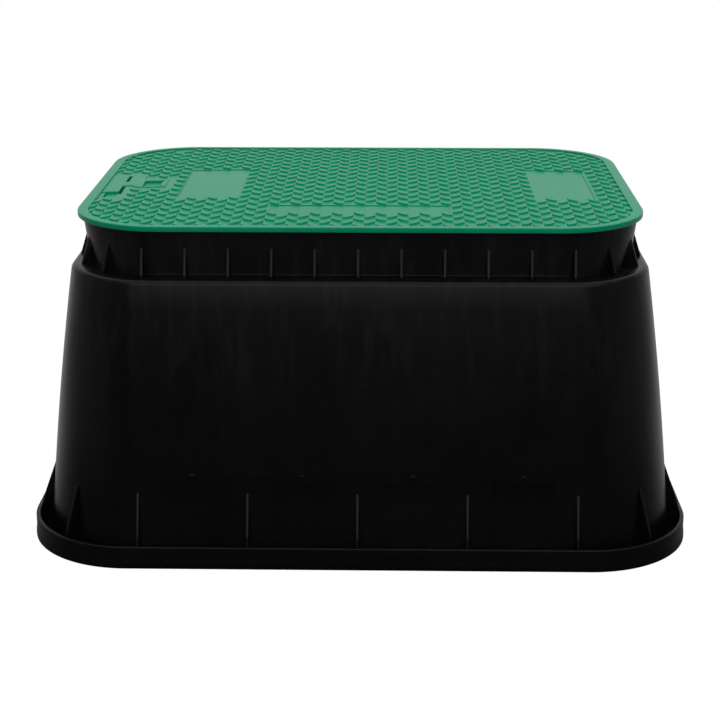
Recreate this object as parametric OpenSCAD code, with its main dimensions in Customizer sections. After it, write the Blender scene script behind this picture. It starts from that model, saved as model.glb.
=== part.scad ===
// Irrigation valve box: a bottomless moulded box with a flange at its foot
// and a loose cover with a herringbone tread.
// The origin is at the centre of the foot, on the ground. +X is the long side.

/* [Collar] */
// Length of the collar at its foot
collar_w = 422; // [380:1:460]
// Depth of the collar at its foot
collar_d = 290; // [250:1:330]
// Corner radius of the collar
collar_r = 60; // [40:1:80]
// Height of the collar above the ledge
collar_h = 36; // [28:0.5:60]
// How far the collar leans outwards at its top
collar_lean = 4.6; // [0:0.1:8]

/* [Box] */
// Height of the ledge above the ground
ledge_z = 218.5; // [170:0.5:300]
// Width of the ledge at the two ends
ledge_end = 12.5; // [10.5:0.1:20]
// Width of the ledge at the front and back
ledge_side = 16; // [11:0.1:24]
// Corner radius of the ledge
ledge_r = 62; // [40:1:80]
// Radius where the ledge turns down into the wall
shoulder_r = 4; // [1:0.1:8]
// How far the wall flares outwards from the ledge to the ground
wall_flare = 25; // [10:0.5:40]
// How far the wall bulges past a straight line at half its height
wall_bulge = 1.8; // [0:0.1:4]
// Corner radius of the wall at the ground
base_r = 76; // [50:1:100]
// Thickness of the moulded walls
wall_t = 4; // [3:0.1:6]

/* [Flange] */
// How far the flange reaches out from the foot of the wall
flange_out = 11.2; // [9:0.1:30]
// Corner radius of the flange
flange_r = 82; // [60:1:110]
// Thickness of the flange
flange_t = 3.5; // [2:0.1:6]
// Height of the upturned lip
lip_h = 17.7; // [8:0.1:22]
// Thickness of the upturned lip
lip_t = 3.5; // [2:0.1:6]
// How far the foot of the lip stands out
lip_foot = 0.6; // [0:0.1:2]
// Height of the foot of the lip
lip_foot_h = 7; // [4:0.1:8]

/* [Gussets] */
// Thickness of every gusset
gusset_t = 2.3; // [1.5:0.1:4]
// Spacing of the upper gussets
upper_pitch = 32.5; // [25:0.5:60]
// Angles of the two upper gussets at each corner, from the long axis
upper_corner_angles = [24, 52]; // [10:1:70]
// Height of an upper gusset
upper_h = 21.5; // [12:0.5:26]
// Reach of an upper gusset over the ledge
upper_reach = 9.2; // [5:0.1:10]
// Height of the blunt end of an upper gusset
upper_toe = 1.2; // [0.5:0.1:3]
// Spacing of the lower gussets on the long sides
lower_pitch = 84; // [60:1:120]
// Spacing of the lower gussets on the ends
lower_end_pitch = 74.7; // [50:0.1:100]
// Angle of the lower gusset at each corner, from the long axis
lower_corner_angle = 51; // [30:1:60]
// Height at which a lower gusset meets the wall
lower_h = 56; // [35:0.5:80]
// Height of the knee of a lower gusset
lower_knee_h = 24.5; // [18:0.5:32]

/* [Knock-outs] */
// Width of a knock-out panel
panel_w = 50; // [30:1:66]
// Height of the top of a panel above the ground
panel_top = 65.5; // [40:0.5:100]
// Depth of the panel in the wall
panel_depth = 0.9; // [0.4:0.1:1.5]

/* [Cover] */
// How far the cover overhangs the collar at the ends
lid_over_end = 3.4; // [1:0.1:8]
// How far the cover overhangs the collar at the front and back
lid_over_side = 7.4; // [1:0.1:12]
// Corner radius of the cover
lid_r = 69; // [50:1:85]
// Thickness of the cover at its edge
lid_edge_t = 4.1; // [3:0.1:7]
// Width of the flat rim at the ends
rim_end = 8.5; // [6:0.1:14]
// Width of the flat rim at the front and back
rim_side = 5.4; // [4:0.1:14]
// Height of the rim above the edge of the field
rim_h = 1.5; // [0.8:0.1:2.4]
// Height of the field's crown at the centre
crown_h = 2.8; // [0.5:0.1:5]
// Thickness of the field between the bars
field_t = 3.9; // [2.6:0.1:6]
// Clearance between the skirt and the collar
skirt_gap = 1; // [0.5:0.1:3]
// Thickness of the skirt
skirt_t = 3; // [2:0.1:5]
// Depth of the skirt below the edge of the cover
skirt_h = 13; // [6:0.5:20]
// Thickness of the ribs under the cover
rib_t = 2.4; // [1.5:0.1:4]
// Depth of the ribs below the edge of the cover
rib_h = 11; // [4:0.5:16]
// Spacing of the ribs under the cover
rib_pitch = 46; // [30:1:60]

/* [Tread] */
// Height of the bars above the field
tread_h = 1; // [0.6:0.1:2]
// Width of one column of bars
col_pitch = 8.4; // [6:0.1:16]
// Gap between two columns of bars
col_gap = 0.6; // [0.2:0.1:2]
// Spacing of the bars along a column
row_pitch = 17.2; // [14:0.1:30]
// Length of a bar's top along the column
bar_len = 6; // [3:0.1:8]
// Rise of a bar across its column
bar_rise = 8; // [4:0.1:12]
// Offset of the bars along the columns
row_shift = 4.5; // [-8:0.1:8]

/* [Bare panels] */
// Depth of a bare panel below the field
bare_depth = 0.6; // [0.2:0.1:1.2]
// Length and depth of the left bare panel
bare_left = [50, 107]; // [30:1:110]
// Distance of the left bare panel from the centre
bare_left_x = 121.5; // [100:0.5:140]
// Length and depth of the right bare panel
bare_right = [48.5, 113]; // [30:1:114]
// Distance of the right bare panel from the centre
bare_right_x = 162.3; // [120:0.1:165]
// Length and depth of the front bare panel
bare_front = [139, 25]; // [20:1:150]
// Distance of the front bare panel from the centre
bare_front_y = 96; // [85:0.5:110]

/* [Catch] */
// Height of the flat pad above the field
pad_h = 0.6; // [0.3:0.1:1]
// Length of the flat pad beside the rim
pad_len = 69; // [50:1:80]
// Width of the flat pad up to the middle of the slots
pad_w = 15.2; // [10:0.1:18]
// Length of the pad's tongue
tongue_len = 45; // [30:1:48]
// Width of the whole pad with its tongue
tongue_w = 29; // [24:0.1:34]
// Distance of the pad's back end from the centre line
pad_back = 36; // [30:0.5:42]
// Width of the two slots
slot_w = 2.9; // [1.5:0.1:4]
// Length of the back slot
slot_back_len = 22.5; // [15:0.5:26]
// Length of the front slot
slot_front_len = 29; // [20:0.5:34]
// Length of the land between the slots
slot_bridge = 15.5; // [8:0.5:20]
// Distance of the back slot's end from the pad's back end
slot_inset = 9; // [3:0.5:12]
// Length and depth of the finger pocket
pocket_size = [15, 21]; // [10:1:24]
// Width of the pad round the finger pocket
pocket_frame = 3; // [1:0.1:5]
// Length and depth of the notch at the pad's front end
notch_size = [10.5, 18]; // [6:0.5:20]
// Distance of the notch from the rim
notch_inset = 3.5; // [1:0.1:5]
// Depth of the finger pocket and the notch below the field
pocket_depth = 1.4; // [0.5:0.1:2]
// Radius of the two small holes beside the pocket
hole_r = 1.5; // [1:0.1:2]

/* [Hidden] */
$fn = 64;
CORNER_STEPS = 10;
CUT = 1;
box_top = ledge_z + collar_h;
lid_top = box_top + lid_edge_t;
field_z = lid_top - rim_h;
crown_top = lid_top + crown_h;
collar_top_w = collar_w + 2 * collar_lean;
collar_top_d = collar_d + 2 * collar_lean;
ledge_w = collar_w + 2 * ledge_end;
ledge_d = collar_d + 2 * ledge_side;
base_w = ledge_w + 2 * wall_flare;
base_d = ledge_d + 2 * wall_flare;
flange_w = base_w + 2 * flange_out;
flange_d = base_d + 2 * flange_out;
lid_w = collar_top_w + 2 * lid_over_end;
lid_d = collar_top_d + 2 * lid_over_side;
field_w = lid_w - 2 * rim_end;
field_d = lid_d - 2 * rim_side;
field_r = lid_r - rim_end;
lean_at_skirt = collar_lean * (1 - skirt_h / collar_h);
skirt_w = collar_w + 2 * (lean_at_skirt - wall_t - skirt_gap);
skirt_d = collar_d + 2 * (lean_at_skirt - wall_t - skirt_gap);
skirt_r = collar_r + lean_at_skirt - wall_t - skirt_gap;
pad_x = -field_w / 2;
pad_front = pad_back - pad_len;
tongue_front = pad_back - tongue_len;
slot_x = pad_x + pad_w - slot_w / 2;
slot_back = pad_back - slot_inset - slot_back_len;
slot_front = slot_back - slot_bridge - slot_front_len;
pocket_x = pad_x + tongue_w + 1;
pocket_y = slot_back - slot_bridge / 2 - pocket_size[1] / 2;
frame_x = pocket_x + pocket_size[0] + hole_r + pocket_frame;
frame_y = pocket_y + pocket_size[1] + hole_r + pocket_frame;
frame_front = pocket_y - pocket_frame;
notch_x = pad_x + notch_inset;
notch_y = pad_front - notch_size[1];
CROWN_STEPS = [10, 8];

// A rectangle from a centre and a size: its lowest and its highest corner
function rectangle(x, y, size) = [[x - size[0] / 2, y - size[1] / 2], [x + size[0] / 2, y + size[1] / 2]];

bare_boxes = [
    rectangle(-bare_left_x, 0, bare_left),
    rectangle(bare_right_x, 0, bare_right),
    rectangle(0, -bare_front_y, bare_front)
];
pocket_boxes = [
    [[pocket_x, pocket_y], [pocket_x + pocket_size[0], pocket_y + pocket_size[1]]],
    [[notch_x, notch_y], [notch_x + notch_size[0], pad_front + CUT]]
];
pad_boxes = [
    [[pad_x, notch_y], [slot_x + slot_w, pad_back]],
    [[slot_x, tongue_front], [pad_x + tongue_w, pad_back]],
    [[pad_x + tongue_w, frame_front], [frame_x, frame_y]]
];
smooth_boxes = concat(bare_boxes, pad_boxes);
WALL_STEPS = 5;
SHOULDER_STEPS = 4;

// How far the wall stands out from the ledge's size at a height
function flare(z) =
    let (t = (ledge_z - z) / ledge_z)
    wall_flare * t + 4 * wall_bulge * t * (1 - t);

// Corner radius of the wall at a height
function wall_r(z) = ledge_r + (base_r - ledge_r) * (ledge_z - z) / ledge_z;

// How far the wall's face has drawn in from its foot at a height
function drawn_in(z) = wall_flare - flare(z);

// A station of a loft: length, depth, corner radius and height
function wall_station(z, inset) =
    let (grow = 2 * (flare(z) - inset))
    [ledge_w + grow, ledge_d + grow, wall_r(z) - inset, z];

// A station where the shoulder turns, at an angle from the wall to the ledge
function shoulder_station(a) =
    let (z = ledge_z - shoulder_r * (1 - sin(a)))
    wall_station(z, shoulder_r * (1 - cos(a)));

// Points of a rounded rectangle at one height
function ring(s) = [
    for (q = [0:3], i = [0:CORNER_STEPS])
        let (
            a = 90 * (q + i / CORNER_STEPS),
            sx = (q == 0 || q == 3) ? 1 : -1,
            sy = (q < 2) ? 1 : -1
        )
        [
            sx * (s[0] / 2 - s[2]) + s[2] * cos(a),
            sy * (s[1] / 2 - s[2]) + s[2] * sin(a),
            s[3]
        ]
];

// A closed solid through rounded rectangles listed from the lowest up
module loft(stations) {
    n = 4 * (CORNER_STEPS + 1);
    rings = len(stations);
    points = [for (s = stations) each ring(s)];
    sides = [
        for (k = [0:rings - 2], i = [0:n - 1])
            let (a = k * n + i, b = k * n + (i + 1) % n)
            each [[a, a + n, b + n], [a, b + n, b]]
    ];
    bottom = [for (i = [0:n - 1]) i];
    top = [for (i = [0:n - 1]) rings * n - 1 - i];
    polyhedron(points, concat(sides, [bottom, top]));
}

// A rounded rectangle with true arcs
module plate_2d(w, d, r) {
    square([w - 2 * r, d], center = true);
    square([w, d - 2 * r], center = true);
    for (x = [-1, 1], y = [-1, 1])
        translate([x * (w / 2 - r), y * (d / 2 - r)])
            circle(r);
}

// A rounded plate from one height to another
module slab(w, d, r, z0, z1) {
    translate([0, 0, z0])
        linear_extrude(z1 - z0)
            plate_2d(w, d, r);
}

// An upright web: its outline lies in X and Z, and +X points outwards
module web(outline, thickness) {
    rotate([90, 0, 0])
        linear_extrude(thickness, center = true)
            polygon(outline);
}

// Places a child on the two ends of a w by d outline, facing outwards
module on_ends(w, offsets) {
    for (turn = [0, 180], y = offsets)
        rotate(turn)
            translate([w / 2, y, 0])
                children();
}

// Places a child on the two long sides, facing outwards
module on_sides(d, offsets) {
    for (turn = [90, 270], x = offsets)
        rotate(turn)
            translate([d / 2, x, 0])
                children();
}

// Places a child on the four corners, facing outwards at angles from the X axis
module on_corners(w, d, r, angles) {
    for (x = [-1, 1], y = [-1, 1], a = angles)
        translate([x * (w / 2 - r), y * (d / 2 - r), 0])
            rotate(atan2(y * sin(a), x * cos(a)))
                translate([r, 0, 0])
                    children();
}

// Offsets at a pitch, centred on zero, that stay within a half length
function centred(pitch, half) =
    let (n = floor(half / pitch))
    [for (i = [-n:n]) i * pitch];

// Offsets at a pitch, centred on a gap, that stay within a half length
function straddled(pitch, half) =
    let (n = floor(half / pitch + 0.5))
    [for (i = [-n:n - 1]) (i + 0.5) * pitch];

// The upper gusset stands on the ledge against the collar
module upper_gusset() {
    root = -wall_t / 2;
    lean = collar_lean * upper_h / collar_h;
    translate([0, 0, ledge_z])
        web([
            [root, root],
            [upper_reach, root],
            [upper_reach, upper_toe],
            [lean, upper_h],
            [root, upper_h]
        ], gusset_t);
}

// The lower gusset ties the wall to the upturned lip
module lower_gusset() {
    root = -drawn_in(lower_h) - wall_t / 2;
    floor_z = flange_t / 2;
    lip_face = flange_out - lip_t;
    toe = lip_face + lip_t / 4;
    web([
        [root, floor_z],
        [toe, floor_z],
        [toe, lip_h - CUT],
        [lip_face - CUT, lower_knee_h],
        [-drawn_in(lower_h), lower_h],
        [root, lower_h]
    ], gusset_t);
}

// The cutter of one knock-out panel follows the slope of the wall
module panel_cut() {
    z0 = flange_t + CUT;
    web([
        [-drawn_in(z0) - panel_depth, z0],
        [-drawn_in(z0) + CUT, z0],
        [-drawn_in(panel_top) + CUT, panel_top],
        [-drawn_in(panel_top) - panel_depth, panel_top]
    ], panel_w);
}

// The flange is a shallow trough round the foot of the wall
module flange() {
    grow = 2 * lip_foot;
    round = lip_t / 4;
    difference() {
        loft([
            [flange_w + grow, flange_d + grow, flange_r + lip_foot, 0],
            [flange_w + grow, flange_d + grow, flange_r + lip_foot, lip_foot_h / 2],
            [flange_w, flange_d, flange_r, lip_foot_h],
            [flange_w, flange_d, flange_r, lip_h - round],
            [flange_w - 2 * round, flange_d - 2 * round, flange_r - round, lip_h]
        ]);
        slab(flange_w - 2 * lip_t, flange_d - 2 * lip_t, flange_r - lip_t, flange_t, lip_h + CUT);
    }
}

// The outer skin of the wall, up to the ledge
module wall_skin() {
    top = ledge_z - shoulder_r;
    loft(concat(
        [for (i = [0:WALL_STEPS]) wall_station(top * i / WALL_STEPS, 0)],
        [for (i = [1:SHOULDER_STEPS]) shoulder_station(90 * i / SHOULDER_STEPS)]
    ));
}

// The space inside the wall, open at the ground
module wall_space() {
    top = ledge_z - wall_t;
    loft(concat(
        [wall_station(-CUT, wall_t)],
        [for (i = [1:WALL_STEPS]) wall_station(top * i / WALL_STEPS, wall_t)]
    ));
}

// The collar from below the ledge, grown or shrunk by a distance
module collar_block(grow, z0, z1) {
    function lean(z) = collar_lean * (z - ledge_z) / collar_h + grow;
    loft([
        for (z = [z0, z1])
            [collar_w + 2 * lean(z), collar_d + 2 * lean(z), collar_r + lean(z), z]
    ]);
}

// The box: wall, ledge, collar, flange and gussets in one moulding
module box_body() {
    lower_x = centred(lower_pitch, base_w / 2 - base_r);
    lower_y = straddled(lower_end_pitch, base_d / 2 - base_r + gusset_t);
    color("#1b1c1e")
        difference() {
            union() {
                flange();
                wall_skin();
                collar_block(0, ledge_z - wall_t / 2, box_top);
                on_sides(collar_d, centred(upper_pitch, collar_w / 2 - collar_r + upper_pitch / 2))
                    upper_gusset();
                on_ends(collar_w, straddled(upper_pitch, collar_d / 2 - collar_r))
                    upper_gusset();
                on_corners(collar_w, collar_d, collar_r, upper_corner_angles)
                    upper_gusset();
                on_sides(base_d, lower_x)
                    lower_gusset();
                on_ends(base_w, lower_y)
                    lower_gusset();
                on_corners(base_w, base_d, base_r, [lower_corner_angle])
                    lower_gusset();
            }
            wall_space();
            collar_block(-wall_t, ledge_z - wall_t - CUT, box_top + CUT);
            on_sides(base_d, straddled(lower_pitch, base_w / 2 - base_r))
                panel_cut();
            on_ends(base_w, centred(lower_end_pitch, base_d / 2 - base_r))
                panel_cut();
        }
}

// Signed distance of a point from the cover's outline, negative inside
function lid_distance(p) =
    let (
        x = abs(p[0]) - lid_w / 2 + lid_r,
        y = abs(p[1]) - lid_d / 2 + lid_r
    )
    norm([max(x, 0), max(y, 0)]) + min(max(x, y), 0) - lid_r;

// Corners of the bar in a column and row: odd columns lean the other way
function bar(column, row) =
    let (
        odd = abs(column) % 2,
        x0 = (column - 0.5) * col_pitch + col_gap / 2,
        x1 = (column + 0.5) * col_pitch - col_gap / 2,
        y = row_shift + (row + odd / 2) * row_pitch,
        tilt = (odd == 1 ? 1 : -1) * bar_rise / 2
    )
    [[x0, y - tilt], [x1, y + tilt], [x1, y + tilt + bar_len], [x0, y - tilt + bar_len]];

// Does a corner of a bar lie inside a rectangle?
function touches(b, box) =
    len([
        for (p = b)
            if (p[0] > box[0][0] && p[0] < box[1][0] && p[1] > box[0][1] && p[1] < box[1][1]) 1
    ]) > 0;

// A bar stands if it lies inside the rim's edge, starts in the field and isn't on a smooth place
function stands(b) =
    let (d = [for (p = b) lid_distance(p)])
    max(d) < -CUT
    && min(d) < -rim_end
    && len([for (s = smooth_boxes) if (touches(b, s)) 1]) == 0;

// Rise of the crown above the field's edge
function crown(x, y) = crown_h * (1 - pow(2 * x / lid_w, 2)) * (1 - pow(2 * y / lid_d, 2));

// A block under the crown: its top follows the crown above a height
module crowned(z0, z1) {
    nx = CROWN_STEPS[0];
    ny = CROWN_STEPS[1];
    top = [
        for (j = [0:ny], i = [0:nx])
            let (x = lid_w * (i / nx - 0.5), y = lid_d * (j / ny - 0.5))
            [x, y, z1 + crown(x, y)]
    ];
    foot = [for (y = [-1, 1], x = [-1, 1]) [x * lid_w / 2, y * lid_d / 2, z0]];
    row = nx + 1;
    last = row * ny;
    n = row * (ny + 1);
    skin = [
        for (j = [0:ny - 1], i = [0:nx - 1])
            let (a = j * row + i)
            each [[a, a + row, a + row + 1], [a, a + row + 1, a + 1]]
    ];
    front = [n, for (i = [0:nx]) i, n + 1];
    back = [n + 3, for (i = [nx:-1:0]) last + i, n + 2];
    left = [n + 2, for (j = [ny:-1:0]) j * row, n];
    right = [n + 1, for (j = [0:ny]) j * row + nx, n + 3];
    bottom = [n, n + 1, n + 3, n + 2];
    polyhedron(concat(top, foot), concat(skin, [front, back, left, right, bottom]));
}

// The herringbone of raised bars
module tread() {
    columns = floor(field_w / 2 / col_pitch);
    rows = ceil(field_d / 2 / row_pitch);
    for (c = [-columns:columns], r = [-rows:rows])
        let (b = bar(c, r), middle = (b[0] + b[2]) / 2)
            if (stands(b))
                translate([0, 0, field_z + crown(middle[0], middle[1]) - tread_h / 2])
                    linear_extrude(tread_h * 1.5)
                        polygon(b);
}

// The space under the crown, inside the skirt
module lid_space(inset, z0, z1) {
    intersection() {
        slab(skirt_w - 2 * inset, skirt_d - 2 * inset, skirt_r - inset, z0, crown_top);
        crowned(z0 - CUT, z1);
    }
}

// The ribs under the field, clear of the skirt's corners
module lid_ribs() {
    z0 = box_top - rib_h;
    intersection() {
        lid_space(skirt_t / 2, z0, field_z - field_t / 2);
        union() {
            for (x = straddled(rib_pitch, skirt_w / 2))
                translate([x - rib_t / 2, -skirt_d / 2, z0])
                    cube([rib_t, skirt_d, crown_top - z0]);
            for (y = straddled(rib_pitch, skirt_d / 2))
                translate([-skirt_w / 2, y - rib_t / 2, z0])
                    cube([skirt_w, rib_t, crown_top - z0]);
        }
    }
}

// Cuts rectangles into the cover, down to a depth below the field
module sunk(boxes, depth) {
    difference() {
        for (b = boxes)
            translate([b[0][0], b[0][1], box_top])
                cube([b[1][0] - b[0][0], b[1][1] - b[0][1], crown_top + CUT - box_top]);
        crowned(box_top - CUT, field_z - depth);
    }
}

// The flat pad of the catch at the rim, with its tongue round the pocket
module catch_pad() {
    step = 2 * slot_w;
    intersection() {
        translate([0, 0, field_z - CUT])
            linear_extrude(crown_top - field_z + CUT)
                polygon([
                    [pad_x - CUT, pad_back],
                    [pad_x + tongue_w, pad_back],
                    [pad_x + tongue_w, frame_y],
                    [frame_x, frame_y],
                    [frame_x, frame_front],
                    [pad_x + tongue_w - slot_w, frame_front],
                    [pad_x + tongue_w - slot_w - step, tongue_front],
                    [slot_x, tongue_front],
                    [slot_x, pad_front],
                    [pad_x - CUT, pad_front]
                ]);
        crowned(box_top, field_z + pad_h);
    }
}

// A slot right through the cover
module slot(y, length) {
    foot = box_top - skirt_h - CUT;
    translate([slot_x, y, foot])
        cube([slot_w, length, crown_top - foot]);
}

// The slots, pocket, notch and small holes of the catch
module catch_cuts() {
    foot = box_top - skirt_h - CUT;
    slot(slot_back, slot_back_len);
    slot(slot_front, slot_front_len);
    sunk(pocket_boxes, pocket_depth);
    for (y = [pocket_y, pocket_y + pocket_size[1]])
        translate([pocket_x + pocket_size[0], y, foot])
            cylinder(r = hole_r, h = crown_top - foot);
}

// The rim, the crowned field and the skirt
module lid_shell() {
    difference() {
        union() {
            difference() {
                slab(lid_w, lid_d, lid_r, box_top, lid_top);
                slab(field_w, field_d, field_r, field_z, lid_top + CUT);
            }
            intersection() {
                slab(field_w + CUT, field_d + CUT, field_r + CUT / 2, field_z - CUT, crown_top);
                crowned(box_top, field_z);
            }
            slab(skirt_w, skirt_d, skirt_r, box_top - skirt_h, field_z - CUT / 2);
        }
        lid_space(skirt_t, box_top - skirt_h - CUT, field_z - field_t);
    }
}

// The cover: rim, crowned field, tread, catch, skirt and ribs in one moulding
module lid() {
    color("#41907a")
        difference() {
            union() {
                lid_shell();
                lid_ribs();
                catch_pad();
                tread();
            }
            sunk(bare_boxes, bare_depth);
            catch_cuts();
        }
}

box_body();
lid();
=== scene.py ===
"""Looks of an irrigation valve box: a black moulded box and its green cover.

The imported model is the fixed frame. Every piece here is a rounded and dressed form of one of its
two mouldings, built with mesh operators at the frame's own sizes. Lengths of the mouldings are in
millimetres. Those of finishes, lamps, camera and floor are in metres, as everything in Blender is.
"""

import logging
import math
from collections.abc import Iterable, Mapping, Sequence
from dataclasses import dataclass, field, replace
from enum import Enum
from itertools import product

import bmesh
import bpy
from mathutils import Matrix, Vector


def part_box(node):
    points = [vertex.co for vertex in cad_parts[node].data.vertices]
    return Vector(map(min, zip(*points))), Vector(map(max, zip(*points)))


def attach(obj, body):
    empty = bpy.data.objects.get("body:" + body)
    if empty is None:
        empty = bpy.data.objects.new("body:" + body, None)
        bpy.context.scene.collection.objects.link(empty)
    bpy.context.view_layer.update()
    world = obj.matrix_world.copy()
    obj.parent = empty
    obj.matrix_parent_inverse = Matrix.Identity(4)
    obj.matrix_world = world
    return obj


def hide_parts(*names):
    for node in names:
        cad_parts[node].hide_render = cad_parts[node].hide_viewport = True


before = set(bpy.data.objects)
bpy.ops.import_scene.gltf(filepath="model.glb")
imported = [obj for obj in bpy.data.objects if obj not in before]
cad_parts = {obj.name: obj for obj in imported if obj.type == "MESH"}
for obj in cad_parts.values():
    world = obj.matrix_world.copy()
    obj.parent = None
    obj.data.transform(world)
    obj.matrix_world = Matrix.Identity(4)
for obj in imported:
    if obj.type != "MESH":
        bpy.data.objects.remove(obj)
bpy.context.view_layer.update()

LOG = logging.getLogger("valve_box")
MM = 0.001
TINY = 1e-7
WHITE = (1.0, 1.0, 1.0, 1.0)

# How far a cutter reaches past what it cuts, and the slack of a test, in millimetres.
OVERCUT = 1.0
SLACK = 0.1
# Angle in degrees past which an edge stays sharp.
CREASE = 35.0
# Least cosine between a face's direction and that of the side it belongs to.
FACING = 0.9
# Signs of X and Y in the four corners, anticlockwise.
QUADRANTS = ((1, 1), (-1, 1), (-1, -1), (1, -1))

Mesh = bmesh.types.BMesh
Colour = tuple[float, float, float]
Point = tuple[float, float, float]
Span = tuple[float, float]
Outline = Sequence[tuple[float, float]]
# Lowest X and Y, then highest X and Y, in millimetres.
Rectangle = tuple[float, float, float, float]


class Body(Enum):
    """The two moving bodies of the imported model."""

    BOX = "box"
    COVER = "cover"


class Slot(Enum):
    """The record's material slots."""

    BLACK = "black_moulding"
    GREEN = "green_moulding"


class Carving(Enum):
    """What a cutter does to the piece that it meets."""

    CUT = "DIFFERENCE"
    JOIN = "UNION"


class Signal:
    """An output of a shader node that takes part in Python arithmetic."""

    def __init__(self, graph: "Graph", node: bpy.types.Node, output: int | str = 0) -> None:
        """Keeps the node and which of its outputs is meant.

        Args:
            graph: The node graph that new maths nodes go into.
            node: The node.
            output: Index or name of the output.
        """
        self.graph = graph
        self.node = node
        self.output = output

    @property
    def socket(self) -> bpy.types.NodeSocket:
        """The output socket itself."""
        return self.node.outputs[self.output]

    def __getitem__(self, output: int | str) -> "Signal":
        """Another output of the same node."""
        return Signal(self.graph, self.node, output)

    def _maths(self, operation: str, left: "Signal | float", right: "Signal | float") -> "Signal":
        """Adds one maths node by Blender's name for its operation."""
        return self.graph.node("ShaderNodeMath", {"operation": operation}, {0: left, 1: right})

    def __add__(self, other: "Signal | float") -> "Signal":
        """Sum."""
        return self._maths("ADD", self, other)

    def __radd__(self, other: float) -> "Signal":
        """Sum with a number on the left."""
        return self._maths("ADD", other, self)

    def __sub__(self, other: "Signal | float") -> "Signal":
        """Difference."""
        return self._maths("SUBTRACT", self, other)

    def __rsub__(self, other: float) -> "Signal":
        """Difference from a number."""
        return self._maths("SUBTRACT", other, self)

    def __mul__(self, other: "Signal | float") -> "Signal":
        """Product."""
        return self._maths("MULTIPLY", self, other)

    def __rmul__(self, other: float) -> "Signal":
        """Product with a number on the left."""
        return self._maths("MULTIPLY", other, self)

    def __abs__(self) -> "Signal":
        """Size without its sign."""
        return self._maths("ABSOLUTE", self, 0.0)

    def at_least(self, other: "Signal | float") -> "Signal":
        """The greater of two values."""
        return self._maths("MAXIMUM", self, other)

    def between(self, low: float, high: float) -> "Signal":
        """A smooth step from 0 at a low value to 1 at a high one."""
        settings = {"interpolation_type": "SMOOTHSTEP"}
        return self.graph.node("ShaderNodeMapRange", settings, {0: self, 1: low, 2: high})


class Graph:
    """A node tree that is filled by one method."""

    def __init__(self, tree: bpy.types.NodeTree) -> None:
        """Empties the node tree of a material or a world."""
        self.tree = tree
        tree.nodes.clear()

    def node(
        self,
        kind: str,
        settings: Mapping[str, object] | None = None,
        inputs: Mapping[int | str, object] | None = None,
    ) -> Signal:
        """Adds a node, sets it up and links it.

        Args:
            kind: Blender's type name for the node.
            settings: Attributes of the node, set first.
            inputs: Values or signals for its sockets, by index or name.

        Returns:
            The node's first output.
        """
        made = self.tree.nodes.new(kind)
        for name, value in (settings or {}).items():
            setattr(made, name, value)
        for key, value in (inputs or {}).items():
            if isinstance(value, Signal):
                self.tree.links.new(value.socket, made.inputs[key])
            else:
                made.inputs[key].default_value = value
        return Signal(self, made)

    def noise(self, place: Signal, size: float, detail: float = 2.0, roughness: float = 0.5) -> Signal:
        """Noise of about 0 to 1 whose features measure about a size in metres."""
        inputs = {"Vector": place, "Scale": 1 / size, "Detail": detail, "Roughness": roughness}
        return self.node("ShaderNodeTexNoise", {"noise_dimensions": "3D"}, inputs)["Fac"]

    def stretched(self, place: Signal, scale: Point) -> Signal:
        """Coordinates scaled by axis."""
        return self.node("ShaderNodeMapping", None, {"Vector": place, "Scale": scale})

    def blend(self, share: Signal, low: Colour, high: Colour) -> Signal:
        """A colour between two colours.

        Args:
            share: 0 for the first colour, 1 for the second.
            low: First colour.
            high: Second colour.

        Returns:
            The blended colour.
        """
        settings = {"data_type": "RGBA"}
        inputs = {0: share, 6: (*low, 1.0), 7: (*high, 1.0)}
        return self.node("ShaderNodeMix", settings, inputs)[2]


def mixed(values: Iterable[Signal], weights: Iterable[float]) -> Signal:
    """The weighted sum of some values."""
    first, *others = [value * weight for value, weight in zip(values, weights)]
    return sum(others, first)


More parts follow.
